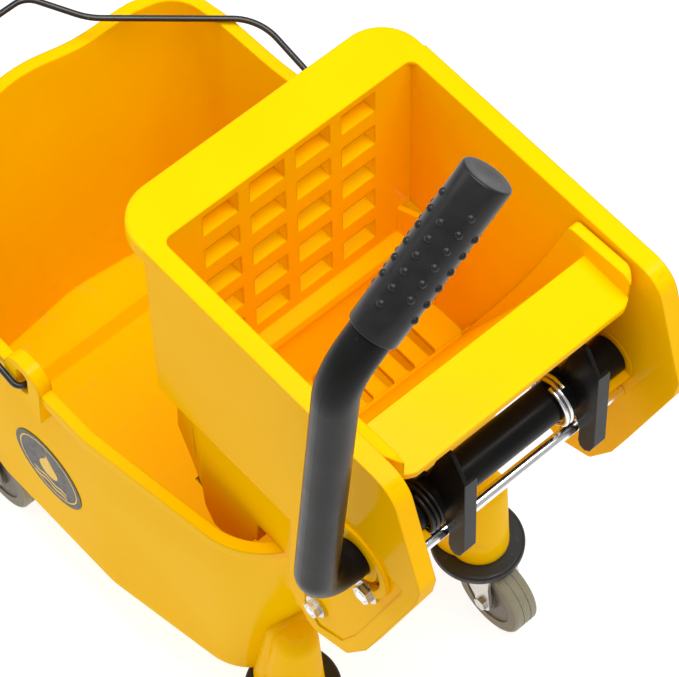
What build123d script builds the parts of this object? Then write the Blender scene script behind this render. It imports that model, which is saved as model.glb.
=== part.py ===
from build123d import *
import os
from math import cos, sin, radians

os.makedirs("parts", exist_ok=True)

# Frame: X runs from the pouring front (-X) to the wringer and lever end (+X),
# the lever stands on the -Y side, Z is up and z = 0 is the floor under the wheels.
# All sizes are millimetres.

# ------------------------------------------------------------------ dimensions
# casters
wheel_r, wheel_w, trail = 37.5, 24.0, 30.0
rear_caster, front_caster = (200.0, 105.0), (-170.0, 133.0)
ring_r, ring_z, ring_t = 41.0, 82.0, 10.0
stem_r, stem_top = 5.5, 110.0
post_r, post_z, post_h = 27.0, 92.6, 118.0

# bucket
floor_z, rim_z, lobe_z, wall = 96.0, 366.0, 380.0, 4.0
band_h, band_out = 13.0, 6.5
ear_x, ear_z, ear_y = -42.0, 356.0, 171.0

# wringer
wr_top, skirt_z = 632.0, 455.0
wr_in, wr_out = 120.0, 136.0                  # half widths inside and outside
lip_x, front_x, draft = 17.0, 62.5, 12.5      # pouring lip, grille face, its lean
grille_t, web_t = 12.5, 5.0
slot_w, slot_h, slot_pitch_y, slot_pitch_z = 33.0, 22.0, 44.5, 40.0
drain_z, deck_z = 345.0, 366.4
shaft_x, shaft_z, tube_r, tube_wall = 289.0, 498.0, 15.9, 2.0
rod_x, rod_z, rod_r = 304.0, 465.0, 5.0
tie_x, tie_z, tie_r = 253.0, 363.0, 4.0

# press plate
pin_x, pin_z, pin_r = 153.0, 358.0, 5.0
plate_in = 118.0
shelf_z, shelf_front, shelf_rear = 608.0, 258.0, 308.0

# lever
lever_y, lever_up, lever_reach, lever_bend, lever_lean = -175.0, 311.0, 164.0, 43.0, 2.0
heel_r, elbow_r = 30.0, 62.0
grip_r, grip_l = 18.5, 128.0
arm_near, arm_far, arm_t, arm_flange = -62.0, 70.0, 3.0, 12.0

# bail
wire_r, bail_y, bail_pitch = 2.75, 182.5, 10.8


def save(part, name):
    """Label a finished node and write its STEP file."""
    part.label = name
    export_step(part, f"parts/{name}.step")


def mix(a, b, t):
    return a + (b - a) * t


# ------------------------------------------------------------------ bucket
# outline corners (x, half width, corner radius) at the floor and at the rim
outline_low = [(-208, 0, 120), (-193, 145, 45), (-110, 155.5, 90), (30, 155.5, 90), (178, 131, 50)]
outline_top = [(-272, 0, 120), (-238, 151, 38), (-110, 171, 90), (30, 171, 90), (206, 147, 62)]


def bucket_outline(z, grow=0.0):
    """Closed outline of the bucket wall at height z, grown outwards."""
    t = (z - floor_z) / (rim_z - floor_z)
    pts = [(mix(a[0], b[0], t), mix(a[1], b[1], t), mix(a[2], b[2], t))
           for a, b in zip(outline_low, outline_top)]
    loop = [(x, -y) for x, y, r in pts] + [(x, y) for x, y, r in reversed(pts[1:])]
    radii = [r for x, y, r in pts] + [r for x, y, r in reversed(pts[1:])]
    with BuildSketch(Plane.XY.offset(z)) as sk:
        with BuildLine():
            Polyline(*loop, close=True)
        make_face()
        for (x, y), r in zip(loop, radii):
            corner = sk.vertices().sort_by_distance((x, y, z))[0]
            fillet(corner, r)
        if grow:
            offset(amount=grow, kind=Kind.ARC)
    return sk.sketch


# everything above the wavy top edge: level sides, raised round front corners
with BuildPart() as sky:
    with BuildSketch(Plane.XZ.offset(-300)) as side_cut:
        with BuildLine():
            Spline((-212, lobe_z + 2), (-165, 374), (-112, rim_z), tangents=[(1, -0.06), (1, 0)])
            Polyline((-112, rim_z), (500, rim_z), (500, 470), (-212, 470), (-212, lobe_z + 2))
        make_face()
    extrude(amount=600)
    with BuildSketch(Plane.YZ.offset(-500)) as front_cut:
        with BuildLine():
            Spline((-126, lobe_z + 2), (-88, 374), (-44, rim_z), tangents=[(1, -0.06), (1, 0)])
            Line((-44, rim_z), (44, rim_z))
            Spline((44, rim_z), (88, 374), (126, lobe_z + 2), tangents=[(1, 0), (1, 0.06)])
            Polyline((126, lobe_z + 2), (126, 465), (-126, 465), (-126, lobe_z + 2))
        make_face()
    extrude(amount=400)
    with Locations((0, 0, lobe_z)):
        Box(1200, 800, 80, align=(Align.CENTER, Align.CENTER, Align.MIN))

# rolled band that stiffens the rim
with BuildPart() as rim_band:
    add(bucket_outline(rim_z - 25, band_out))
    add(bucket_outline(lobe_z, band_out))
    loft(ruled=True)
    add(sky.part.moved(Location((0, 0, -band_h))), mode=Mode.INTERSECT)
    add(sky.part, mode=Mode.SUBTRACT)

# caster dome: a tall tapered post with a round top
with BuildPart() as dome:
    Cone(post_r, 0.66 * post_r, post_h - 0.6 * post_r, align=(Align.CENTER, Align.CENTER, Align.MIN))
    fillet(dome.edges().group_by(Axis.Z)[-1], 0.6 * post_r)

# the hollow
with BuildPart() as hollow:
    add(bucket_outline(floor_z + wall, -wall))
    add(bucket_outline(lobe_z + 1, -wall))
    loft(ruled=True)

# raised step along the front of the floor
with BuildPart() as step:
    with Locations((-190, 0, floor_z + 0.5)):
        Box(82, 260, 13, align=(Align.CENTER, Align.CENTER, Align.MIN))
    chamfer(step.edges().filter_by(Axis.Y).group_by(Axis.Z)[-1].sort_by(Axis.X)[-1], 12)
    add(hollow.part.moved(Location((0, 0, -0.5))), mode=Mode.INTERSECT)

casters = [(x, s * y) for x, y in (rear_caster, front_caster) for s in (-1, 1)]

with BuildPart() as bucket:
    add(bucket_outline(floor_z))
    add(bucket_outline(lobe_z))
    loft(ruled=True)
    add(sky.part, mode=Mode.SUBTRACT)
    add(rim_band.part)
    # caster posts: tall domes at the rear corners, short pads under the front
    for side in (-1, 1):
        add(dome.part.moved(Location((rear_caster[0], side * rear_caster[1], post_z))))
        add(dome.part.moved(Location((rear_caster[0] - 14, side * (rear_caster[1] - 4), post_z))))
    with Locations(*[(front_caster[0], s * front_caster[1], post_z) for s in (-1, 1)]):
        Cylinder(post_r, 26, align=(Align.CENTER, Align.CENTER, Align.MIN))
    add(hollow.part, mode=Mode.SUBTRACT)
    add(step.part)
    # bosses that take the front stems
    with Locations(*[(front_caster[0], s * front_caster[1], floor_z + 1) for s in (-1, 1)]):
        Cylinder(13, 20, align=(Align.CENTER, Align.CENTER, Align.MIN))
    # necks that carry the bumper rings
    with Locations(*[(x, y, ring_z + 0.5) for x, y in casters]):
        Cylinder(19.9, post_z - ring_z + 3, align=(Align.CENTER, Align.CENTER, Align.MIN))
    with Locations(*[(x, y, ring_z) for x, y in casters]):
        Cylinder(stem_r + 0.06, stem_top - ring_z + 2, align=(Align.CENTER, Align.CENTER, Align.MIN),
                 mode=Mode.SUBTRACT)
    # ears for the bail
    for side in (-1, 1):
        with BuildSketch(Plane.XZ.offset(-side * (ear_y - 5))) as ear:
            with Locations((ear_x, ear_z)):
                Rectangle(42, 60)
            fillet(ear.vertices().group_by(Axis.Y)[-1], 18)
        extrude(amount=-side * 13)
    # upright slots that the hooked ends of the bail hang in
    for side in (-1, 1):
        with BuildSketch(Plane.XZ.offset(-side * 160)):
            with Locations((ear_x, ear_z + 8)):
                SlotOverall(29, 14, rotation=90)
        extrude(amount=-side * 40, mode=Mode.SUBTRACT)
save(bucket.part, "bucket")


# ------------------------------------------------------------------ badge
badge_z = 205.0
badge_tilt = 3.29
badge_y = 155.5 + (badge_z - floor_z) * 15.5 / (rim_z - floor_z)
badge_plane = Plane(origin=(-40, -badge_y - 0.02, badge_z), x_dir=(1, 0, 0),
                    z_dir=(0, -cos(radians(badge_tilt)), -sin(radians(badge_tilt))))
with BuildPart() as badge:
    with BuildSketch(badge_plane):
        Ellipse(41, 44)
    extrude(amount=0.8)
save(badge.part, "badge")

# ------------------------------------------------------------------ casters
for i, (cx, cy) in enumerate(casters):
    tag = ("rear" if cx > 0 else "front") + ("_near" if cy < 0 else "_far")
    with BuildPart() as bumper:
        with Locations((cx, cy, ring_z)):
            Cylinder(ring_r, ring_t, align=(Align.CENTER, Align.CENTER, Align.MIN))
        fillet(bumper.edges().filter_by(GeomType.CIRCLE), 3.6)
        with Locations((cx, cy, ring_z - 1)):
            Cylinder(20, 20, align=(Align.CENTER, Align.CENTER, Align.MIN), mode=Mode.SUBTRACT)
    save(bumper.part, f"bumper_{tag}")

    with BuildPart() as fork:
        with Locations((cx, cy, 77.8)):
            Cylinder(21, 2.8, align=(Align.CENTER, Align.CENTER, Align.MIN))
        with Locations((cx, cy, 77.8)):
            Box(34, 36, 2.8, align=(Align.MIN, Align.CENTER, Align.MIN))
        with BuildSketch(Plane.XZ.offset(-cy)):
            with BuildLine():
                Polyline((cx - 10, 80.6), (cx + 34, 80.6), (cx + 34, 66), (cx + trail + 9, wheel_r),
                         (cx + trail, wheel_r - 9), (cx + trail - 9, wheel_r), (cx - 10, 72), close=True)
            make_face()
            with Locations((cx + trail, wheel_r)):
                Circle(9)
        extrude(amount=18, both=True)
        with Locations((cx + 20, cy, 0)):
            Box(100, 29.6, 77.8, align=(Align.CENTER, Align.CENTER, Align.MIN), mode=Mode.SUBTRACT)
        with Locations((cx, cy, 77.8)):
            Cylinder(stem_r, stem_top - 77.8, align=(Align.CENTER, Align.CENTER, Align.MIN))
        with Locations((cx + trail, cy, wheel_r)):
            Cylinder(4.02, 60, rotation=(90, 0, 0), mode=Mode.SUBTRACT)
    save(fork.part, f"fork_{tag}")

    with BuildPart() as axle:
        with Locations((cx + trail, cy, wheel_r)):
            Cylinder(4, 40, rotation=(90, 0, 0))
        with BuildSketch(Plane.XZ.offset(-cy + 18.1)):
            with Locations((cx + trail, wheel_r)):
                RegularPolygon(6.6, 6)
        extrude(amount=3.6)
        with BuildSketch(Plane.XZ.offset(-cy - 18.1 - 4)):
            with Locations((cx + trail, wheel_r)):
                RegularPolygon(6.6, 6)
        extrude(amount=4)
    save(axle.part, f"axle_{tag}")

    with BuildPart() as hub:
        with Locations((cx + trail, cy, wheel_r)):
            Cylinder(25.9, wheel_w - 3, rotation=(90, 0, 0))
            Cylinder(11, wheel_w + 4.6, rotation=(90, 0, 0))
            Cylinder(4.06, 60, rotation=(90, 0, 0), mode=Mode.SUBTRACT)
    save(hub.part, f"hub_{tag}")

    with BuildPart() as tyre:
        with BuildSketch(Plane.XY.offset(wheel_r)) as tread:
            with Locations((cx + trail + wheel_r, cy)):
                Rectangle(wheel_r - 26, wheel_w, align=(Align.MAX, Align.CENTER))
            fillet(tread.vertices().group_by(Axis.X)[-1], 2.5)
            # two shallow grooves round the tread
            with Locations((cx + trail + wheel_r, cy - 4), (cx + trail + wheel_r, cy + 4)):
                Rectangle(1.2, 1.0, mode=Mode.SUBTRACT)
        revolve(axis=Axis((cx + trail, cy, wheel_r), (0, 1, 0)))
    save(tyre.part, f"tyre_{tag}")


# ------------------------------------------------------------------ wringer
# side outline of the rear cheek, shared by the inner plate and the outer skirt
cheek = [(318, wr_top), (354, 536), (352, 515), (308, 372), (288, 336), (250, 320), (221, 352)]
inner_side = [(50, wr_top)] + cheek + [(221, deck_z + 2), (174, deck_z + 2), (170, 336), (152, 298),
                                       (124, 297), (113, 314), (109.5, 338), (92, drain_z - 5),
                                       (80, 408), (62, 432)]
skirt_side = [(60, wr_top)] + cheek + [(221, skirt_z), (73, skirt_z)]


def side_panel(points, y0, y1, corner=12):
    """Panel with a rounded cheek between two distances from the middle, on both sides."""
    with BuildPart() as panel:
        for side in (-1, 1):
            with BuildSketch(Plane.XZ.offset(-side * y0)) as sk:
                with BuildLine():
                    Polyline(*points, close=True)
                make_face()
                for (x, z), r in zip(cheek, (26, 14, 14, 0, corner, corner, 8)):
                    if r:
                        fillet(sk.vertices().sort_by_distance((x, z, 0))[0], r)
            extrude(amount=-side * (y1 - y0))
    return panel.part


with BuildPart() as skirt:
    add(side_panel(skirt_side, wr_in, wr_out))
    # hollow between the skirt and the inner plate, open along the skirt's lower edge
    for side in (-1, 1):
        with BuildSketch(Plane.XZ.offset(-side * (wr_in + web_t))) as sk:
            with BuildLine():
                Polyline(*skirt_side, close=True)
            make_face()
            offset(amount=-web_t, kind=Kind.INTERSECTION)
            with Locations((147, skirt_z + 8)):
                Rectangle(138, 30)
        extrude(amount=-side * (wr_out - wr_in - web_t - 4), mode=Mode.SUBTRACT)

with BuildPart() as front_lip:
    # wide rounded pouring lip with a turned-down edge
    with BuildSketch(Plane.XY.offset(wr_top)) as sk:
        with Locations((lip_x, 0)):
            Rectangle(76, 2 * wr_out, align=(Align.MIN, Align.CENTER))
        fillet(sk.vertices().group_by(Axis.X)[0], 36)
    extrude(amount=-14)
    fillet(front_lip.edges().group_by(Axis.Z)[-1].filter_by_position(Axis.X, -50, 90), 3)
    with BuildSketch(Plane.XY.offset(wr_top - 4)) as sk:
        with Locations((lip_x + 4, 0)):
            Rectangle(90, 2 * wr_out - 8, align=(Align.MIN, Align.CENTER))
        fillet(sk.vertices().group_by(Axis.X)[0], 32)
    extrude(amount=-14, mode=Mode.SUBTRACT)
    # mouth of the hopper
    with BuildSketch(Plane.XY.offset(wr_top + 1)) as sk:
        with Locations((front_x, 0)):
            Rectangle(60, 2 * wr_in, align=(Align.MIN, Align.CENTER))
        fillet(sk.vertices().group_by(Axis.X)[0], 7)
    extrude(amount=-30, mode=Mode.SUBTRACT)

with BuildPart() as wringer:
    add(side_panel(inner_side, wr_in, wr_in + web_t))
    # grille wall, leaning back towards its foot, then the rolled ledge and the drain floor
    with BuildSketch(Plane.XZ.offset(-wr_in - web_t)) as sk:
        with BuildLine():
            Polyline((front_x, wr_top - 2), (front_x + draft, 428), (86, 422), (88, 414), (84, 406),
                     (100, drain_z + 8), (108, drain_z), (169, drain_z), (169, deck_z + 5),
                     (223, deck_z + 5), (223, deck_z), (174, deck_z), (174, drain_z - 5),
                     (92, drain_z - 5), (78, 404),
                     (front_x + draft - grille_t, 420), (front_x - grille_t, wr_top - 2), close=True)
        make_face()
    extrude(amount=2 * (wr_in + web_t))
    # below the skirt the front corners of the basket are cut back and closed with a slanted web
    for side in (-1, 1):
        with BuildSketch(Plane.XY.offset(drain_z - 6)):
            with BuildLine():
                Polyline((40, side * 140), (109.5, side * 140), (109.5, side * 125), (56, side * 104),
                         (40, side * 98), close=True)
            make_face()
        extrude(amount=skirt_z - drain_z + 6, mode=Mode.SUBTRACT)
        with BuildSketch(Plane.XY.offset(drain_z - 5)):
            with BuildLine():
                Polyline((56, side * 104), (110.5, side * 125), (110.5, side * 119.5), (62, side * 101),
                         close=True)
            make_face()
        extrude(amount=skirt_z - drain_z + 8)
    add(skirt.part)
    add(front_lip.part)
    # grille windows
    for row in range(5):
        top = wr_top - 8 - row * slot_pitch_z
        with Locations(*[(68, (c - 1.5) * slot_pitch_y, top) for c in range(4)]):
            Box(40, slot_w, slot_h, align=(Align.CENTER, Align.CENTER, Align.MAX), mode=Mode.SUBTRACT)
    # drain slots along the floor
    with BuildSketch(Plane.XY.offset(drain_z + 20)):
        with Locations(*[(121, y) for y in range(-88, 89, 22)]):
            SlotOverall(44, 8)
    extrude(amount=-40, mode=Mode.SUBTRACT)
    # downward hook behind the bucket wall
    with Locations((219.8, 0, deck_z + 2.5)):
        Box(4.8, 150, 26, align=(Align.CENTER, Align.CENTER, Align.MAX))
    # shallow panel let into the outside of each cheek, with a raised border round it
    for side in (-1, 1):
        with BuildSketch(Plane.XZ.offset(-side * (wr_out - 1.3))) as sk:
            with BuildLine():
                Polyline((262, 500), (338, 520), (336, 508), (296, 379), (282, 348), (256, 334), (240, 352),
                         (240, 452), close=True)
            make_face()
            fillet(sk.vertices(), 4)
        extrude(amount=-side * 4, mode=Mode.SUBTRACT)
    # bosses: lever bearing, stop rod and tie rod, joined through both plates
    for side in (-1, 1):
        with Locations((shaft_x, side * (wr_in + wr_out) / 2, shaft_z)):
            Cylinder(29, wr_out - wr_in, rotation=(90, 0, 0))
        with Locations((rod_x, side * (wr_in + wr_out) / 2, rod_z), (tie_x, side * (wr_in + wr_out) / 2, tie_z)):
            Cylinder(11, wr_out - wr_in, rotation=(90, 0, 0))
        with Locations((shaft_x, side * (wr_out + 1), shaft_z)):
            Cylinder(36, 4, rotation=(90, 0, 0))
        with Locations((shaft_x, side * (wr_out + 1), shaft_z)):
            Cylinder(29, 14, rotation=(90, 0, 0), mode=Mode.SUBTRACT)
    with Locations(*[(rod_x, side * (wr_out + 5), rod_z) for side in (-1, 1)]):
        Cylinder(13, 10, rotation=(90, 0, 0), mode=Mode.SUBTRACT)
    with Locations((shaft_x, 0, shaft_z)):
        Cylinder(23.05, 400, rotation=(90, 0, 0), mode=Mode.SUBTRACT)
    with Locations((rod_x, 0, rod_z)):
        Cylinder(rod_r + 0.05, 400, rotation=(90, 0, 0), mode=Mode.SUBTRACT)
    with Locations((tie_x, 0, tie_z)):
        Cylinder(tie_r + 0.05, 400, rotation=(90, 0, 0), mode=Mode.SUBTRACT)
    # sockets for the press plate's pins
    with Locations((pin_x, 0, pin_z)):
        Cylinder(pin_r + 0.06, 2 * wr_in + 6, rotation=(90, 0, 0), mode=Mode.SUBTRACT)
save(wringer.part, "wringer_body")

# ------------------------------------------------------------------ press plate
face_low, face_top = (146, 350.5), (shelf_front, shelf_z)
run = ((face_top[0] - face_low[0]) ** 2 + (face_top[1] - face_low[1]) ** 2) ** 0.5
ux, uz = (face_top[0] - face_low[0]) / run, (face_top[1] - face_low[1]) / run


def behind(along, depth):
    """Point on the side view, measured along the plate's face and behind it."""
    return (face_low[0] + along * ux + depth * uz, face_low[1] + along * uz - depth * ux)


with BuildPart() as press_plate:
    # dished face and the shelf on top of it
    with BuildSketch(Plane.XZ.offset(-plate_in)) as sk:
        with BuildLine():
            ThreePointArc(face_low, behind(run * 0.5, 4), face_top)
            Polyline(face_top, (shelf_rear, shelf_z - 2), (shelf_rear, shelf_z - 8),
                     (shelf_front + 4, shelf_z - 8))
            ThreePointArc((shelf_front + 4, shelf_z - 8), behind(run * 0.5, 9), behind(4, 6))
            Line(behind(4, 6), face_low)
        make_face()
    extrude(amount=2 * plate_in)
    # end flanges that stand proud of the face and run round the shelf
    for side in (-1, 1):
        with BuildSketch(Plane.XZ.offset(-side * (plate_in - 9))) as sk:
            with BuildLine():
                Spline(face_low, (186, 455), (218, 548), (236, 612))
                Polyline((236, 612), (240, 624), (296, 627), (305, 622), (306, 602),
                         (shelf_front + 8, shelf_z - 8), behind(run * 0.5, 9), behind(4, 6), face_low)
            make_face()
            fillet(sk.vertices().sort_by_distance((240, 624, 0))[0], 6)
        extrude(amount=-side * 9)
    # ribs behind the face; two pairs are deeper where the arms press
    for y in (-96, -30, 0, 30, 104):
        with BuildSketch(Plane.XZ.offset(-y - 2)):
            with BuildLine():
                Polyline(behind(40, 5), behind(70, 14), behind(run - 60, 24), behind(run - 12, 24),
                         (shelf_front + 12, shelf_z - 5), behind(run - 30, 3), behind(run * 0.5, 7), close=True)
            make_face()
        extrude(amount=4)
    for y in (arm_near + 6, arm_far + 6):
        with BuildSketch(Plane.XZ.offset(-y - 8)):
            with BuildLine():
                Polyline(behind(60, 7), behind(150, 47), behind(run - 14, 47), (shelf_front + 6, shelf_z - 4),
                         behind(run - 30, 3), behind(run * 0.5, 7), close=True)
            make_face()
        extrude(amount=16)
    # rounded rear corners of the shelf
    for side in (-1, 1):
        with BuildSketch(Plane.XY.offset(shelf_z - 12)) as sk:
            with Locations((shelf_rear + 1 - 26, side * (plate_in + 1 - 26))):
                Rectangle(40, 40, align=(Align.MIN, Align.MIN if side > 0 else Align.MAX))
                Circle(26, mode=Mode.SUBTRACT)
        extrude(amount=60, mode=Mode.SUBTRACT)
    # hinge pins at the foot
    with Locations((pin_x, 0, pin_z)):
        Cylinder(pin_r, 2 * wr_in + 4, rotation=(90, 0, 0))
save(press_plate.part, "press_plate")

# ------------------------------------------------------------------ lever
# the lever's own plane holds its bends: u runs across the wringer, v up the handle
lean = radians(lever_lean)
lever_plane = Plane(origin=(shaft_x, 0, shaft_z), x_dir=(0, 1, 0), z_dir=(cos(lean), 0, -sin(lean)))
elbow = (lever_y, lever_up)
tip = (lever_y + lever_reach * sin(radians(lever_bend)), lever_up + lever_reach * cos(radians(lever_bend)))
with BuildPart() as lever_tube:
    with BuildLine(lever_plane) as lever_path:
        a = Line((wr_out + 10, 0), (lever_y + heel_r, 0))
        b = RadiusArc((lever_y + heel_r, 0), (lever_y, heel_r), heel_r)
        c_len = elbow_r * sin(radians(lever_bend) / 2) / cos(radians(lever_bend) / 2)
        c = Line((lever_y, heel_r), (lever_y, lever_up - c_len))
        after = (lever_y + c_len * sin(radians(lever_bend)), lever_up + c_len * cos(radians(lever_bend)))
        d = TangentArc(c @ 1, after, tangent=c % 1)
        e = Line(after, tip)
    with BuildSketch(Plane(origin=lever_path.line @ 0, z_dir=lever_path.line % 0)):
        Circle(tube_r)
        Circle(tube_r - tube_wall, mode=Mode.SUBTRACT)
    sweep(path=lever_path.line)
save(lever_tube.part, "lever_tube")

tip_dir = lever_path.line % 1
grip_start = lever_path.line @ 1 - tip_dir * (grip_l - 5)
grip_plane = Plane(origin=grip_start, z_dir=tip_dir)
with BuildPart() as lever_grip:
    with BuildSketch(grip_plane):
        Circle(grip_r)
    extrude(amount=grip_l)
    fillet(lever_grip.edges().filter_by(GeomType.CIRCLE).sort_by_distance(grip_start)[-1], 1.6)
    fillet(lever_grip.edges().filter_by(GeomType.CIRCLE).sort_by_distance(grip_start)[0], 1.5)
    with BuildSketch(grip_plane.offset(-1)):
        Circle(tube_r + 0.02)
    extrude(amount=grip_l - 4 + 0.1, mode=Mode.SUBTRACT)
    # lengthwise rows of round bumps, every other row one place further on, with plain collars
    for ring in range(7):
        for row in range(8):
            if 0 <= ring - row % 2 < 6:
                with Locations(grip_plane.offset(24.5 + ring * 13.3)):
                    with PolarLocations(grip_r - 1.2, 1, start_angle=45 * row):
                        Sphere(3.3)
    with BuildSketch(grip_plane.offset(-1)):
        Circle(tube_r + 0.02)
    extrude(amount=grip_l - 4 + 0.1, mode=Mode.SUBTRACT)
save(lever_grip.part, "lever_grip")

with BuildPart() as shaft_plug:
    with Locations((shaft_x, wr_out + 10.1, shaft_z)):
        Cylinder(tube_r, 3, rotation=(-90, 0, 0), align=(Align.CENTER, Align.CENTER, Align.MIN))
    fillet(shaft_plug.edges().group_by(Axis.Y)[-1], 1.5)
    with Locations((shaft_x, wr_out + 10.2, shaft_z)):
        Cylinder(tube_r - tube_wall - 0.05, 14, rotation=(90, 0, 0), align=(Align.CENTER, Align.CENTER, Align.MIN))
save(shaft_plug.part, "shaft_plug")

# folded arms that turn with the shaft; their lower front edge rests on the stop rod
arm_outline = [(-6, 20), (5, 70), (11, 80), (16, 79), (31, 56), (38, -34), (35, -44), (30, -49),
               (25, -48), (22.4, -42), (21.6, -26), (17, -16)]
for name, y0 in (("arm_near", arm_near), ("arm_far", arm_far)):
    with BuildPart() as arm:
        with BuildSketch(Plane.XZ.offset(-y0)) as sk:
            with BuildLine():
                Polyline(*[(shaft_x + x, shaft_z + z) for x, z in arm_outline], close=True)
            make_face()
            with Locations((shaft_x, shaft_z)):
                Circle(22)
        extrude(amount=-arm_t)
        # rear flange
        with BuildSketch(Plane.XZ.offset(-y0)):
            with BuildLine():
                Polyline(*[(shaft_x + x, shaft_z + z) for x, z in
                           [(31, 56), (38, -34), (35, -44), (32.2, -42), (35, -34), (28, 56)]], close=True)
            make_face()
        extrude(amount=-arm_flange)
        with Locations((shaft_x, y0 - 1, shaft_z)):
            Cylinder(tube_r + 0.02, 8, rotation=(90, 0, 0), mode=Mode.SUBTRACT)
    save(arm.part, name)

# ------------------------------------------------------------------ bearings, rods, springs
for name, side in (("bush_near", -1), ("bush_far", 1)):
    with BuildPart() as bush:
        with Locations((shaft_x, side * (wr_in - 38), shaft_z)):
            Cylinder(23, wr_out - wr_in + 38, rotation=(-90 * side, 0, 0),
                     align=(Align.CENTER, Align.CENTER, Align.MIN))
        with Locations((shaft_x, 0, shaft_z)):
            Cylinder(tube_r + 0.05, 400, rotation=(90, 0, 0), mode=Mode.SUBTRACT)
        # inside the cheek only the lower half cradles the shaft
        with Locations((shaft_x, side * (wr_in - 0.5), shaft_z - 4)):
            Box(80, 40, 60, align=(Align.CENTER, Align.MIN if side < 0 else Align.MAX, Align.MIN),
                mode=Mode.SUBTRACT)
    save(bush.part, name)

with BuildPart() as stop_rod:
    with Locations((rod_x, 0, rod_z)):
        Cylinder(rod_r, 2 * wr_out + 14, rotation=(90, 0, 0))
    chamfer(stop_rod.edges().filter_by(GeomType.CIRCLE), 0.8)
save(stop_rod.part, "stop_rod")

with BuildPart() as tie_rod:
    with Locations((tie_x, 0, tie_z)):
        Cylinder(tie_r, 2 * wr_out + 14, rotation=(90, 0, 0))
    chamfer(tie_rod.edges().filter_by(GeomType.CIRCLE), 0.8)
save(tie_rod.part, "tie_rod")

for name, x, z, hole, hex_r, wash_r in (("stop", rod_x, rod_z, rod_r, 8.6, 11), ("tie", tie_x, tie_z, tie_r, 7.4, 10)):
    with BuildPart() as nuts:
        for side in (-1, 1):
            with BuildSketch(Plane.XZ.offset(-side * (wr_out + 1.7))):
                with Locations((x, z)):
                    RegularPolygon(hex_r, 6)
                    Circle(hole + 0.02, mode=Mode.SUBTRACT)
            extrude(amount=-side * 5)
    save(nuts.part, f"{name}_nuts")
    with BuildPart() as washers:
        for side in (-1, 1):
            with BuildSketch(Plane.XZ.offset(-side * (wr_out + 0.05))):
                with Locations((x, z)):
                    Circle(wash_r)
                    Circle(hole + 0.05, mode=Mode.SUBTRACT)
            extrude(amount=-side * 1.5)
    save(washers.part, f"{name}_washers")

# return springs: a coil round the shaft with one leg on the stop rod and one on the arm
for name, coils in (("spring_near", [(-81, -67)]), ("spring_far", [(53, 66), (74.5, 81.5)])):
    with BuildPart() as spring:
        for y0, y1 in coils:
            with BuildLine() as wire:
                Helix(pitch=4.4, height=y1 - y0 - 4, radius=20.4, center=(shaft_x, y0 + 2, shaft_z),
                      direction=(0, 1, 0))
            with BuildSketch(Plane(origin=wire.line @ 0, z_dir=wire.line % 0)):
                Circle(1.9)
            sweep(path=wire.line, is_frenet=True)
    save(spring.part, name)

# ------------------------------------------------------------------ bail
# drawn flat in the plane of the bail: u forward from the ears, v across
bail_plane = Plane(origin=(ear_x, 0, ear_z), x_dir=(-cos(radians(bail_pitch)), 0, sin(radians(bail_pitch))),
                   z_dir=(sin(radians(bail_pitch)), 0, cos(radians(bail_pitch))))
half = [(0, ear_y - 5), (0, bail_y), (133, bail_y), (218, 69.5), (264, 40)]
bends = [8, 45, 60, 20]
loop = half + [(u, -v) for u, v in reversed(half)]
with BuildPart() as bail:
    with BuildLine(bail_plane) as bail_line:
        FilletPolyline(*loop, radius=bends + bends[::-1])
    with BuildSketch(Plane(origin=bail_line.line @ 0, z_dir=bail_line.line % 0)):
        Circle(wire_r)
    sweep(path=bail_line.line)
save(bail.part, "bail")
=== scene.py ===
import bmesh
import bpy
import math
from mathutils import Matrix, Vector


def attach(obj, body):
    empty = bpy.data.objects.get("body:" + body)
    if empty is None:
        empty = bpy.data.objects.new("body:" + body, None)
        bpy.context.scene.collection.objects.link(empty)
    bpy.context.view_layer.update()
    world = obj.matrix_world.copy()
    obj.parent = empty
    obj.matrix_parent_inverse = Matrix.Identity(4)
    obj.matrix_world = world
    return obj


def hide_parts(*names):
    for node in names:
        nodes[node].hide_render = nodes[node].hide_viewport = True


# A wheeled mop bucket with a side press wringer. X runs towards the wringer, the lever stands on
# the -Y side, Z is up, and every length is in metres.
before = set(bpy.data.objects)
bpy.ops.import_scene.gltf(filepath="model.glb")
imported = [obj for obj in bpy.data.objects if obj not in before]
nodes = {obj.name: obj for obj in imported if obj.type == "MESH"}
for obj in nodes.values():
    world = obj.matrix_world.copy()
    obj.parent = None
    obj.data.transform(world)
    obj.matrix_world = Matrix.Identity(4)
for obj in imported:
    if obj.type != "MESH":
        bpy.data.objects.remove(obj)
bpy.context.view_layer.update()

# ---------------------------------------------------------------- camera
# Looks steeply down over the lever corner of the bucket, with a long lens and a slight roll.
view_turn, view_height, view_roll = math.radians(44.9), math.radians(59.19), math.radians(3.43)
view_point, view_distance = Vector((0.06449, 0.06057, 0.300)), 2.78155
back = Vector((math.cos(view_height) * math.sin(view_turn),
               -math.cos(view_height) * math.cos(view_turn), math.sin(view_height)))
level = Vector((math.cos(view_turn), math.sin(view_turn), 0.0))
over = back.cross(level)
across = level * math.cos(view_roll) + over * math.sin(view_roll)
upwards = over * math.cos(view_roll) - level * math.sin(view_roll)
lens = bpy.data.cameras.new("studio_camera")
lens.sensor_fit, lens.sensor_width, lens.lens = "HORIZONTAL", 36.0, 3444.0 * 36.0 / 679.0
lens.clip_start, lens.clip_end = 0.1, 60.0
camera = bpy.data.objects.new("studio_camera", lens)
camera.matrix_world = (Matrix.Translation(view_point + back * view_distance)
                       @ Matrix((across, upwards, back)).transposed().to_4x4())
bpy.context.scene.collection.objects.link(camera)
bpy.context.scene.camera = camera
bpy.context.scene.view_settings.view_transform = "Standard"


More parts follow.
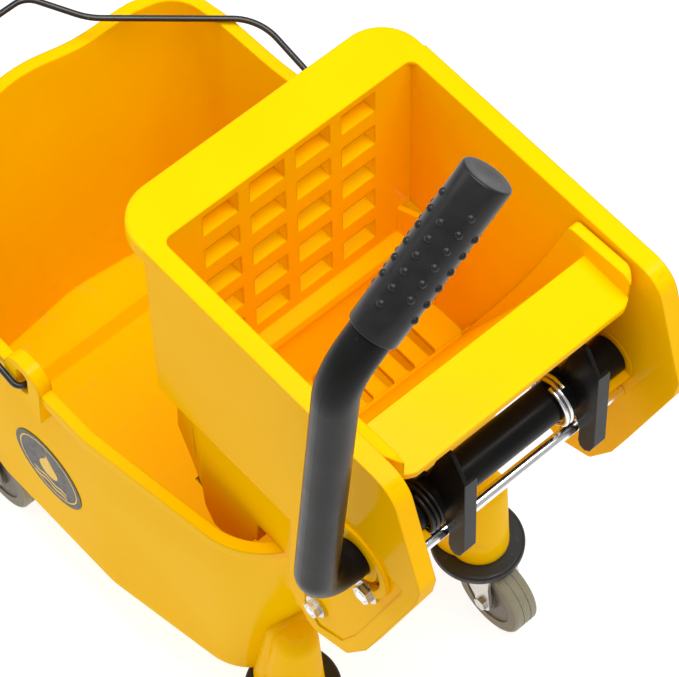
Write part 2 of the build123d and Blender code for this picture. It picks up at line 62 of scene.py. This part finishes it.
# ---------------------------------------------------------------- floor and light
# A seamless white studio floor, so bright that only the soft shadow under the bucket shows.
# One wide soft box hangs overhead and a smaller one stands off to the left. A small bright key
# lamp draws the crisp lights on edges and tubes.
class Wire:
    """One socket of a finish. Arithmetic on it adds Math nodes."""

    def __init__(self, finish, socket):
        self.finish, self.socket = finish, socket

    def maths(self, operation, first, second=0.0):
        return self.finish.node("ShaderNodeMath", {"operation": operation}, {0: first, 1: second})

    def __add__(self, other):
        return self.maths("ADD", self, other)

    def __sub__(self, other):
        return self.maths("SUBTRACT", self, other)

    def __rsub__(self, other):
        return self.maths("SUBTRACT", other, self)

    def __mul__(self, other):
        return self.maths("MULTIPLY", self, other)

    def __truediv__(self, other):
        return self.maths("DIVIDE", self, other)

    def __pow__(self, other):
        return self.maths("POWER", self, other)

    def __abs__(self):
        return self.maths("ABSOLUTE", self)

    __radd__, __rmul__ = __add__, __mul__


class Finish:
    """A surface finish, built up one shader node at a time."""

    def __init__(self, name, **fixed):
        self.material = bpy.data.materials.new(name)
        self.material.use_nodes = True
        self.tree = self.material.node_tree
        self.tree.nodes.clear()
        self.shader = self.tree.nodes.new("ShaderNodeBsdfPrincipled")
        output = self.tree.nodes.new("ShaderNodeOutputMaterial")
        self.tree.links.new(self.shader.outputs[0], output.inputs["Surface"])
        for socket, value in fixed.items():
            self.set(socket.replace("_", " "), value)
        self.place = self.node("ShaderNodeTexCoord", out="Object")

    def node(self, kind, settings=None, sockets=None, out=0):
        made = self.tree.nodes.new(kind)
        for key, value in (settings or {}).items():
            if key == "stops":
                ramp = made.color_ramp
                while len(ramp.elements) < len(value):
                    ramp.elements.new(0.5)
                for stop, (at, shade) in zip(ramp.elements, value):
                    stop.position, stop.color = at, shade
            else:
                setattr(made, key, value)
        for key, value in (sockets or {}).items():
            self.join(made.inputs[key], value)
        return Wire(self, made.outputs[out])

    def join(self, socket, value):
        if isinstance(value, Wire):
            self.tree.links.new(value.socket, socket)
        else:
            socket.default_value = value

    def set(self, socket, value):
        self.join(self.shader.inputs[socket], value)

    def grain(self, scale, detail=2.0, place=None, out=0):
        return self.node("ShaderNodeTexNoise", None,
                         {"Vector": place or self.place, "Scale": scale, "Detail": detail}, out)

    def between(self, value, low, high, from_value=0.0, to_value=1.0):
        return self.node("ShaderNodeMapRange", {"interpolation_type": "SMOOTHSTEP"},
                         {0: value, 1: low, 2: high, 3: from_value, 4: to_value})

    def tint(self, amount, first, second):
        return self.node("ShaderNodeMix", {"data_type": "RGBA"},
                         {0: amount, 6: first, 7: second}, 2)

    def relief(self, height, distance, strength=1.0, under=None):
        sockets = {"Height": height, "Distance": distance, "Strength": strength}
        if under:
            sockets["Normal"] = under
        return self.node("ShaderNodeBump", None, sockets)

    def soft_edge(self, radius):
        return self.node("ShaderNodeBevel", {"samples": 8}, {"Radius": radius})

    def cover(self, *names):
        for name in names:
            nodes[name].data.materials.clear()
            nodes[name].data.materials.append(self.material)


paper = Finish("studio_paper", Roughness=0.9, Specular_IOR_Level=0.0, Emission_Strength=0.82)
paper.set("Emission Color", (1.0, 1.0, 1.0, 1))
paper.set("Base Color", paper.tint(paper.grain(3.0), (0.34, 0.34, 0.34, 1), (0.36, 0.36, 0.36, 1)))
sheet = bmesh.new()
bmesh.ops.create_grid(sheet, x_segments=8, y_segments=8, size=7.0)
floor_mesh = bpy.data.meshes.new("studio_floor")
sheet.to_mesh(floor_mesh)
sheet.free()
floor_mesh.materials.append(paper.material)
floor = bpy.data.objects.new("studio_floor", floor_mesh)
bpy.context.scene.collection.objects.link(floor)

world = bpy.data.worlds.new("studio_air")
bpy.context.scene.world = world
world.use_nodes = True
world.node_tree.nodes["Background"].inputs["Color"].default_value = (1.0, 1.0, 1.0, 1)
world.node_tree.nodes["Background"].inputs["Strength"].default_value = 0.46

for name, width, watts, spot, aim in (
        ("overhead_box", 2.0, 64.0, (0.45, 0.15, 2.85), (0.0, 0.0, 0.3)),
        ("key_lamp", 0.28, 9.0, (-0.75, -0.35, 2.60), (0.1, 0.0, 0.4)),
        ("side_box", 1.3, 9.0, (-1.9, -1.5, 1.9), (0.0, 0.0, 0.35))):
    lamp = bpy.data.lights.new(name, "AREA")
    lamp.shape, lamp.size, lamp.energy = "SQUARE", width, watts
    holder = bpy.data.objects.new(name, lamp)
    holder.location = spot
    holder.rotation_euler = (Vector(aim) - Vector(spot)).to_track_quat("-Z", "Y").to_euler()
    bpy.context.scene.collection.objects.link(holder)


# ---------------------------------------------------------------- bucket
# One injection moulding in yellow polypropylene: satin skin with a fine moulded grain, slow waviness
# over the thin walls, light scuffs, and a darker, browner tone towards the bottom.
def moulded_yellow(name, lemon, amber, gloss, darken_height):
    """Yellow polypropylene. It deepens where it is thick, grows darker and browner towards the
    bottom, and dulls where it is worn.
    """
    skin = Finish(name, Specular_IOR_Level=0.0, Coat_Roughness=0.12)
    cloud = skin.grain(7.0, 3.0)
    height = skin.node("ShaderNodeSeparateXYZ", None, {0: skin.place}, 2)
    colour = skin.tint(skin.between(cloud, 0.38, 0.66), lemon, amber)
    # fine scratches run every way, in thin broken lines
    stretched = skin.node("ShaderNodeMapping", None, {
        "Vector": skin.place, "Rotation": (0.4, 0.9, 0.7), "Scale": (14.0, 210.0, 60.0)})
    crossed = skin.node("ShaderNodeMapping", None, {
        "Vector": skin.place, "Rotation": (1.2, 0.3, 2.0), "Scale": (190.0, 18.0, 70.0)})
    lines = skin.between(skin.grain(1.0, 2.0, stretched), 0.66, 0.74) + \
        skin.between(skin.grain(1.0, 2.0, crossed), 0.67, 0.75)
    worn = skin.between(skin.grain(22.0, 4.0), 0.5, 0.72) * lines
    # darker and browner towards the bottom, below the given height, broken up by grain
    low = skin.between(height, darken_height, darken_height - 0.10)
    colour = skin.tint(worn * 0.10, colour, (0.96, 0.60, 0.06, 1))
    colour = skin.tint(low * skin.between(skin.grain(60.0, 4.0), 0.55, 0.8) * 0.12, colour,
                       (0.42, 0.30, 0.10, 1))
    skin.set("Base Color", colour)
    skin.set("Roughness", skin.between(cloud, 0.3, 0.7, gloss, gloss + 0.07) + worn * 0.12
             + skin.grain(160.0, 2.0) * 0.04)
    skin.set("Coat Weight", skin.between(cloud, 0.3, 0.7, 0.16, 0.11))
    wavy = skin.relief(skin.grain(9.0, 1.0), 0.0012, 0.5, skin.soft_edge(0.003))
    skin.set("Normal", skin.relief(skin.grain(1300.0, 2.0) + worn * 0.6, 0.00008, 0.5, wavy))
    return skin


bucket_skin = moulded_yellow("bucket_yellow", (0.97, 0.540, 0.0, 1), (0.96, 0.515, 0.0, 1),
                             gloss=0.30, darken_height=0.20)
bucket_skin.cover("bucket")

# ---------------------------------------------------------------- badge
# A thin oval print on the near wall: dark grey with a plain drop over two ripples, and a fine
# yellow line round it.
badge_ink = Finish("badge_print", Specular_IOR_Level=0.4)
spot_x, spot_y, spot_z = (badge_ink.node("ShaderNodeSeparateXYZ", None, {0: badge_ink.place}, i)
                          for i in range(3))
badge_x, badge_z, badge_half_width, badge_half_height = -0.040, 0.205, 0.041, 0.044
u = (spot_x - badge_x) / badge_half_width
v = (spot_z - badge_z) / badge_half_height
reach = (u * u + v * v) ** 0.5
ring = badge_ink.between(abs(reach - 0.86), 0.022, 0.012)
drop_width = badge_ink.between(v, 0.56, -0.02, 0.0, 0.27)
drop_point = badge_ink.between(abs(u) - drop_width, 0.012, -0.012) \
    * badge_ink.between(v, -0.03, 0.0)
drop_round = badge_ink.between((u * u + (v + 0.03) * (v + 0.03)) ** 0.5, 0.285, 0.262)
ripple = v + 0.46 + badge_ink.node("ShaderNodeMath", {"operation": "SINE"}, {0: u * 13.0}) * 0.035
waves = (badge_ink.between(abs(ripple), 0.04, 0.025)
         + badge_ink.between(abs(ripple + 0.17), 0.04, 0.025)) * badge_ink.between(abs(u), 0.52, 0.47)
shown = badge_ink.node("ShaderNodeClamp", None, {0: ring + drop_point + drop_round + waves})
worn_print = badge_ink.between(badge_ink.grain(420.0, 3.0), 0.66, 0.72)
ink = badge_ink.tint(badge_ink.grain(90.0, 3.0), (0.030, 0.026, 0.020, 1), (0.048, 0.042, 0.034, 1))
bare = badge_ink.node("ShaderNodeMath", {"operation": "MAXIMUM"}, {0: shown, 1: worn_print * 0.5})
badge_ink.set("Base Color", badge_ink.tint(bare, ink, (0.86, 0.52, 0.006, 1)))
badge_ink.set("Roughness", badge_ink.between(badge_ink.grain(200.0), 0.3, 0.7, 0.38, 0.5))
badge_ink.set("Normal", badge_ink.relief(badge_ink.grain(1500.0, 2.0) + shown * -0.3, 0.00006, 0.6))
badge_ink.cover("badge")

# ---------------------------------------------------------------- caster bumpers
# Black rubber rings pushed over the necks above each caster, which keep the bucket off walls.
# Their rims are scuffed grey.
bumper_rubber = Finish("bumper_rubber", Specular_IOR_Level=0.45)
rub = bumper_rubber.between(bumper_rubber.grain(120.0, 4.0), 0.55, 0.75)
bumper_rubber.set("Base Color", bumper_rubber.tint(
    rub, (0.010, 0.010, 0.010, 1), (0.030, 0.029, 0.027, 1)))
bumper_rubber.set("Roughness", bumper_rubber.between(
    bumper_rubber.grain(45.0, 3.0), 0.3, 0.7, 0.36, 0.56))
bumper_rubber.set("Normal", bumper_rubber.relief(bumper_rubber.grain(900.0, 3.0), 0.0001, 0.5))

# ---------------------------------------------------------------- caster forks and axles
# Bright zinc plated steel: forks pressed from plate with the faint grain of the sheet, and a
# plain bolt and nut for each axle.
zinc = Finish("zinc_plate", Metallic=1.0)
flow = zinc.node("ShaderNodeMapping", None, {"Vector": zinc.place, "Scale": (60.0, 60.0, 900.0)})
sheen = zinc.grain(1.0, 3.0, flow)
patch = zinc.node("ShaderNodeTexVoronoi", None, {"Vector": zinc.place, "Scale": 160.0}, "Color")
spangle = zinc.node("ShaderNodeSeparateColor", None, {0: patch})
zinc.set("Base Color", zinc.tint(zinc.between(sheen, 0.35, 0.7),
                                 (0.58, 0.57, 0.54, 1), (0.74, 0.73, 0.70, 1)))
zinc.set("Roughness", zinc.between(spangle, 0.0, 1.0, 0.24, 0.36) + sheen * 0.08)
zinc.set("Normal", zinc.relief(sheen, 0.00005, 0.5))

# ---------------------------------------------------------------- wheels
# Grey non-marking rubber tyres pressed on brown-grey plastic hubs. Fine turning lines run round
# the tread and the cheeks of each tyre, and a little floor dust sits in them.
wheel_height = 0.0375
for place, wheel_x in (("rear", 0.230), ("front", -0.140)):
    for side in ("near", "far"):
        tag = f"{place}_{side}"
        tyre = Finish(f"tyre_{tag}", Specular_IOR_Level=0.35)
        part_x, part_y, part_z = (tyre.node("ShaderNodeSeparateXYZ", None, {0: tyre.place}, i)
                                  for i in range(3))
        out_x, out_z = part_x - wheel_x, part_z - wheel_height
        radius = (out_x * out_x + out_z * out_z) ** 0.5
        tread = tyre.between(radius, 0.0345, 0.0360)
        rings = tyre.node("ShaderNodeMath", {"operation": "SINE"}, {0: part_y * 3600.0}) * tread \
            + tyre.node("ShaderNodeMath", {"operation": "SINE"}, {0: radius * 4200.0}) * (1 - tread)
        dust = tyre.between(tyre.grain(70.0, 4.0), 0.45, 0.75)
        rubber = tyre.tint(tread, (0.190, 0.160, 0.108, 1), (0.285, 0.262, 0.175, 1))
        rubber = tyre.tint(dust * 0.5, rubber, (0.34, 0.31, 0.23, 1))
        tyre.set("Base Color", rubber)
        tyre.set("Roughness", tyre.between(dust, 0.0, 1.0, 0.48, 0.68))
        tyre.set("Normal", tyre.relief(rings, 0.00009, 0.6))
        tyre.cover(f"tyre_{tag}")

        hub = Finish(f"hub_{tag}", Specular_IOR_Level=0.4)
        hub_x, hub_z = (hub.node("ShaderNodeSeparateXYZ", None, {0: hub.place}, i) for i in (0, 2))
        hub_r = ((hub_x - wheel_x) * (hub_x - wheel_x)
                 + (hub_z - wheel_height) * (hub_z - wheel_height)) ** 0.5
        speck = hub.grain(260.0, 3.0)
        hub.set("Base Color", hub.tint(speck, (0.13, 0.11, 0.085, 1), (0.20, 0.17, 0.13, 1)))
        hub.set("Roughness", hub.between(speck, 0.3, 0.7, 0.42, 0.58))
        dished = hub.node("ShaderNodeMath", {"operation": "SINE"}, {0: hub_r * 1500.0})
        hub.set("Normal", hub.relief(dished * 0.4 + speck, 0.00025, 0.6))
        hub.cover(f"hub_{tag}")
        bumper_rubber.cover(f"bumper_{tag}")
        zinc.cover(f"fork_{tag}", f"axle_{tag}")

# ---------------------------------------------------------------- bail handle
# Steel wire bent cold and dipped in gloss black, hooked into the two ears of the bucket.
wire_black = Finish("bail_wire", Specular_IOR_Level=0.55)
dip = wire_black.grain(38.0, 3.0)
chip = wire_black.between(wire_black.grain(330.0, 3.0), 0.70, 0.74)
wire_black.set("Base Color", wire_black.tint(chip * 0.6, wire_black.tint(
    dip, (0.008, 0.008, 0.008, 1), (0.016, 0.016, 0.016, 1)), (0.20, 0.19, 0.18, 1)))
wire_black.set("Roughness", wire_black.between(dip, 0.3, 0.7, 0.20, 0.32))
wire_black.set("Metallic", chip * 0.5)
wire_black.set("Normal", wire_black.relief(wire_black.grain(220.0, 2.0), 0.00012, 0.5))
wire_black.cover("bail")

# ---------------------------------------------------------------- wringer body
# A second yellow moulding that hangs over the rear rim: a hopper with a slotted grille, a
# pouring lip, and two tall cheeks that carry the lever. Its top skin is a shade brighter.
wringer_skin = moulded_yellow("wringer_yellow", (0.97, 0.515, 0.0, 1), (0.96, 0.490, 0.0, 1),
                              gloss=0.27, darken_height=0.36)
wringer_skin.cover("wringer_body")
bearing = moulded_yellow("bearing_yellow", (0.95, 0.50, 0.0, 1), (0.94, 0.47, 0.0, 1),
                         gloss=0.24, darken_height=0.3)
bearing.cover("bush_near", "bush_far")

# ---------------------------------------------------------------- press plate
# The moving jaw, moulded in the same yellow with a smoother skin, hinged at its foot.
plate_skin = moulded_yellow("plate_yellow", (0.96, 0.52, 0.0, 1), (0.95, 0.50, 0.0, 1),
                            gloss=0.24, darken_height=0.36)
plate_skin.cover("press_plate")

# ---------------------------------------------------------------- stop rod, tie rod and their nuts
# Chrome plated round bars held through both cheeks by zinc plated nuts on flat washers.
chrome = Finish("chrome_plate", Metallic=1.0)
haze = chrome.grain(140.0, 3.0)
drawn = chrome.node("ShaderNodeMapping", None,
                    {"Vector": chrome.place, "Scale": (2400.0, 40.0, 2400.0)})
chrome.set("Base Color", chrome.tint(haze, (0.86, 0.86, 0.87, 1), (0.95, 0.95, 0.95, 1)))
chrome.set("Roughness", chrome.between(haze, 0.3, 0.7, 0.14, 0.24))
chrome.set("Normal", chrome.relief(chrome.grain(1.0, 2.0, drawn), 0.00003, 0.4))
chrome.cover("stop_rod", "tie_rod")
zinc.cover("stop_nuts", "stop_washers", "tie_nuts", "tie_washers")

# ---------------------------------------------------------------- lever and arms
# Round steel tube bent to a right angle at the foot and forward at the elbow, with two folded
# arms welded to its shaft, all in satin black powder coat with a fine orange peel.
powder = Finish("powder_coat", Specular_IOR_Level=0.11)
peel = powder.grain(620.0, 2.0)
cloudy = powder.grain(26.0, 3.0)
nick = powder.between(powder.grain(210.0, 4.0), 0.73, 0.77)
powder.set("Base Color", powder.tint(nick * 0.5, powder.tint(
    cloudy, (0.005, 0.005, 0.005, 1), (0.010, 0.0095, 0.009, 1)), (0.10, 0.095, 0.09, 1)))
powder.set("Roughness", powder.between(cloudy, 0.3, 0.7, 0.26, 0.34) + nick * 0.2)
powder.set("Normal", powder.relief(peel, 0.00010, 0.45, powder.soft_edge(0.001)))
powder.cover("lever_tube", "arm_near", "arm_far")

plug_black = Finish("plug_plastic", Specular_IOR_Level=0.4)
plug_grain = plug_black.grain(800.0, 2.0)
plug_black.set("Base Color", plug_black.tint(
    plug_grain, (0.014, 0.014, 0.014, 1), (0.024, 0.024, 0.024, 1)))
plug_black.set("Roughness", plug_black.between(plug_grain, 0.3, 0.7, 0.42, 0.55))
plug_black.set("Normal", plug_black.relief(plug_grain, 0.00008, 0.5))
plug_black.cover("shaft_plug")

# ---------------------------------------------------------------- hand grip
# A soft black rubber sleeve pushed on the end of the lever: a plain collar at each end and, in
# between, lengthwise rows of round bumps, every other row one place further on.
lean, bend = math.radians(2.0), math.radians(43.0)
grip_length, grip_radius, tube_radius = 0.128, 0.0185, 0.0159
grip_axis = Vector((math.cos(bend) * math.sin(lean), math.sin(bend),
                    math.cos(bend) * math.cos(lean)))
side_of_grip = Vector((math.cos(lean), 0.0, -math.sin(lean)))
grip_tip = Vector((0.289 + math.sin(lean) * 0.43094, -0.063153, 0.498 + math.cos(lean) * 0.43094))
grip_foot = grip_tip - grip_axis * (grip_length - 0.005)
grip_turn = Matrix((side_of_grip, grip_axis.cross(side_of_grip), grip_axis)).transposed().to_4x4()
grip_place = Matrix.Translation(grip_foot) @ grip_turn

sleeve = bmesh.new()
section = [(tube_radius + 0.00015, 0.0), (grip_radius - 0.0007, 0.0),
           (grip_radius - 0.0002, 0.0003), (grip_radius, 0.0010),
           (grip_radius, 0.020), (grip_radius, 0.064), (grip_radius, 0.108),
           (grip_radius, grip_length - 0.0016), (grip_radius - 0.0003, grip_length - 0.0007),
           (grip_radius - 0.0009, grip_length - 0.0001), (grip_radius - 0.002, grip_length),
           (grip_radius * 0.5, grip_length - 0.0006), (0.0004, grip_length - 0.0008)]
turns = 96
angles = [2 * math.pi * i / turns for i in range(turns)]
hoops = [[sleeve.verts.new((r * math.cos(angle), r * math.sin(angle), z)) for angle in angles]
         for r, z in section]
for low, high in zip(hoops, hoops[1:]):
    for i in range(turns):
        after = (i + 1) % turns
        sleeve.faces.new((low[i], low[after], high[after], high[i]))
sleeve.faces.new(hoops[-1])
sleeve.faces.new(list(reversed(hoops[0])))
for face in sleeve.faces:
    face.smooth = len(face.verts) == 4
sleeve_mesh = bpy.data.meshes.new("grip_sleeve")
sleeve.to_mesh(sleeve_mesh)
sleeve.free()
grip_rubber = Finish("grip_rubber", Specular_IOR_Level=0.24)
satin = grip_rubber.grain(90.0, 3.0)
grip_rubber.set("Base Color", grip_rubber.tint(
    satin, (0.009, 0.009, 0.010, 1), (0.018, 0.018, 0.019, 1)))
grip_rubber.set("Roughness", grip_rubber.between(satin, 0.3, 0.7, 0.25, 0.34))
grip_rubber.set("Normal", grip_rubber.relief(grip_rubber.grain(1500.0, 2.0), 0.00005, 0.5))
grip = bpy.data.objects.new("lever_hand_grip", sleeve_mesh)
bpy.context.scene.collection.objects.link(grip)

bumps = bpy.data.node_groups.new("grip_bumps", "GeometryNodeTree")
bumps.interface.new_socket("Sleeve", in_out="INPUT", socket_type="NodeSocketGeometry")
for name, kind, value in (
        ("Rows", "NodeSocketInt", 8), ("Bumps in a row", "NodeSocketInt", 6),
        ("Pitch", "NodeSocketFloat", 0.0133), ("First bump", "NodeSocketFloat", 0.0245),
        ("Sleeve radius", "NodeSocketFloat", grip_radius - 0.0012),
        ("Bump radius", "NodeSocketFloat", 0.0033)):
    bumps.interface.new_socket(name, in_out="INPUT", socket_type=kind).default_value = value
bumps.interface.new_socket("Rubber", in_out="INPUT", socket_type="NodeSocketMaterial")
bumps.interface.new_socket("Grip", in_out="OUTPUT", socket_type="NodeSocketGeometry")


def grow(tree, kind, settings=None, sockets=None):
    """Adds one geometry node to a tree. A socket's value may be another node's socket."""
    made = tree.nodes.new(kind)
    for key, value in (settings or {}).items():
        setattr(made, key, value)
    for key, value in (sockets or {}).items():
        if isinstance(value, bpy.types.NodeSocket):
            tree.links.new(value, made.inputs[key])
        else:
            made.inputs[key].default_value = value
    return made


def sums(tree, operation, first, second):
    return grow(tree, "ShaderNodeMath", {"operation": operation}, {0: first, 1: second}).outputs[0]


asked = bumps.nodes.new("NodeGroupInput").outputs
count = sums(bumps, "MULTIPLY", asked["Rows"], asked["Bumps in a row"])
seats = grow(bumps, "GeometryNodePoints", None, {"Count": count})
number = grow(bumps, "GeometryNodeInputIndex").outputs[0]
row = sums(bumps, "FLOOR", sums(bumps, "DIVIDE", number, asked["Bumps in a row"]), 0.0)
along = sums(bumps, "MODULO", number, asked["Bumps in a row"])
later = sums(bumps, "MODULO", row, 2.0)
angle = sums(bumps, "MULTIPLY", row, sums(bumps, "DIVIDE", 2 * math.pi, asked["Rows"]))
rise = sums(bumps, "ADD", asked["First bump"],
            sums(bumps, "MULTIPLY", sums(bumps, "ADD", along, later), asked["Pitch"]))
spot = grow(bumps, "ShaderNodeCombineXYZ", None, {
    "X": sums(bumps, "MULTIPLY", sums(bumps, "COSINE", angle, 0.0), asked["Sleeve radius"]),
    "Y": sums(bumps, "MULTIPLY", sums(bumps, "SINE", angle, 0.0), asked["Sleeve radius"]),
    "Z": rise})
placed = grow(bumps, "GeometryNodeSetPosition", None,
              {"Geometry": seats.outputs[0], "Position": spot.outputs[0]})
ball = grow(bumps, "GeometryNodeMeshUVSphere", None,
            {"Segments": 20, "Rings": 12, "Radius": asked["Bump radius"]})
soft_ball = grow(bumps, "GeometryNodeSetShadeSmooth", None, {"Geometry": ball.outputs[0]})
dotted = grow(bumps, "GeometryNodeInstanceOnPoints", None,
              {"Points": placed.outputs[0], "Instance": soft_ball.outputs[0]})
both = grow(bumps, "GeometryNodeJoinGeometry")
bumps.links.new(dotted.outputs[0], both.inputs[0])
bumps.links.new(asked["Sleeve"], both.inputs[0])
real = grow(bumps, "GeometryNodeRealizeInstances", None, {0: both.outputs[0]})
coated = grow(bumps, "GeometryNodeSetMaterial", None,
              {"Geometry": real.outputs[0], "Material": asked["Rubber"]})
ending = bumps.nodes.new("NodeGroupOutput")
bumps.links.new(coated.outputs[0], ending.inputs[0])

maker = grip.modifiers.new("grip_bumps", "NODES")
maker.node_group = bumps
for item in bumps.interface.items_tree:
    if item.in_out == "INPUT" and item.name == "Rubber":
        maker[item.identifier] = grip_rubber.material
bpy.context.view_layer.update()
finished = grip.evaluated_get(bpy.context.evaluated_depsgraph_get())
made_grip = bpy.data.meshes.new_from_object(finished)
grip.modifiers.clear()
grip.data = made_grip
grip.data.transform(grip_place)
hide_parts("lever_grip")
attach(grip, "lever")

# ---------------------------------------------------------------- return springs
# Torsion springs wound round the shaft beside the arms: bright plated wire on both sides of the far
# arm, and one on the near arm in the same wire, coloured near-black as painted shade, so it all but
# disappears against the shaft.
spring_wire = Finish("spring_plate", Metallic=1.0)
drawn_grain = spring_wire.grain(420.0, 2.0)
spring_wire.set("Base Color", spring_wire.tint(
    drawn_grain, (0.74, 0.74, 0.75, 1), (0.90, 0.90, 0.90, 1)))
spring_wire.set("Roughness", spring_wire.between(drawn_grain, 0.3, 0.7, 0.14, 0.26))
spring_wire.set("Normal", spring_wire.relief(drawn_grain, 0.00004, 0.4))
spring_wire.cover("spring_far")

# painted shade: the near spring is plated wire like the far one, coloured near-black because it sits
# in shade beside the shaft
shaded_spring = Finish("spring_black", Metallic=0.6)
shaded_spring_grain = shaded_spring.grain(420.0, 2.0)
shaded_spring.set("Base Color", shaded_spring.tint(
    shaded_spring_grain, (0.012, 0.012, 0.012, 1), (0.026, 0.025, 0.024, 1)))
shaded_spring.set("Roughness", shaded_spring.between(shaded_spring_grain, 0.3, 0.7, 0.28, 0.40))
shaded_spring.set("Normal", shaded_spring.relief(shaded_spring_grain, 0.00004, 0.4))
shaded_spring.cover("spring_near")
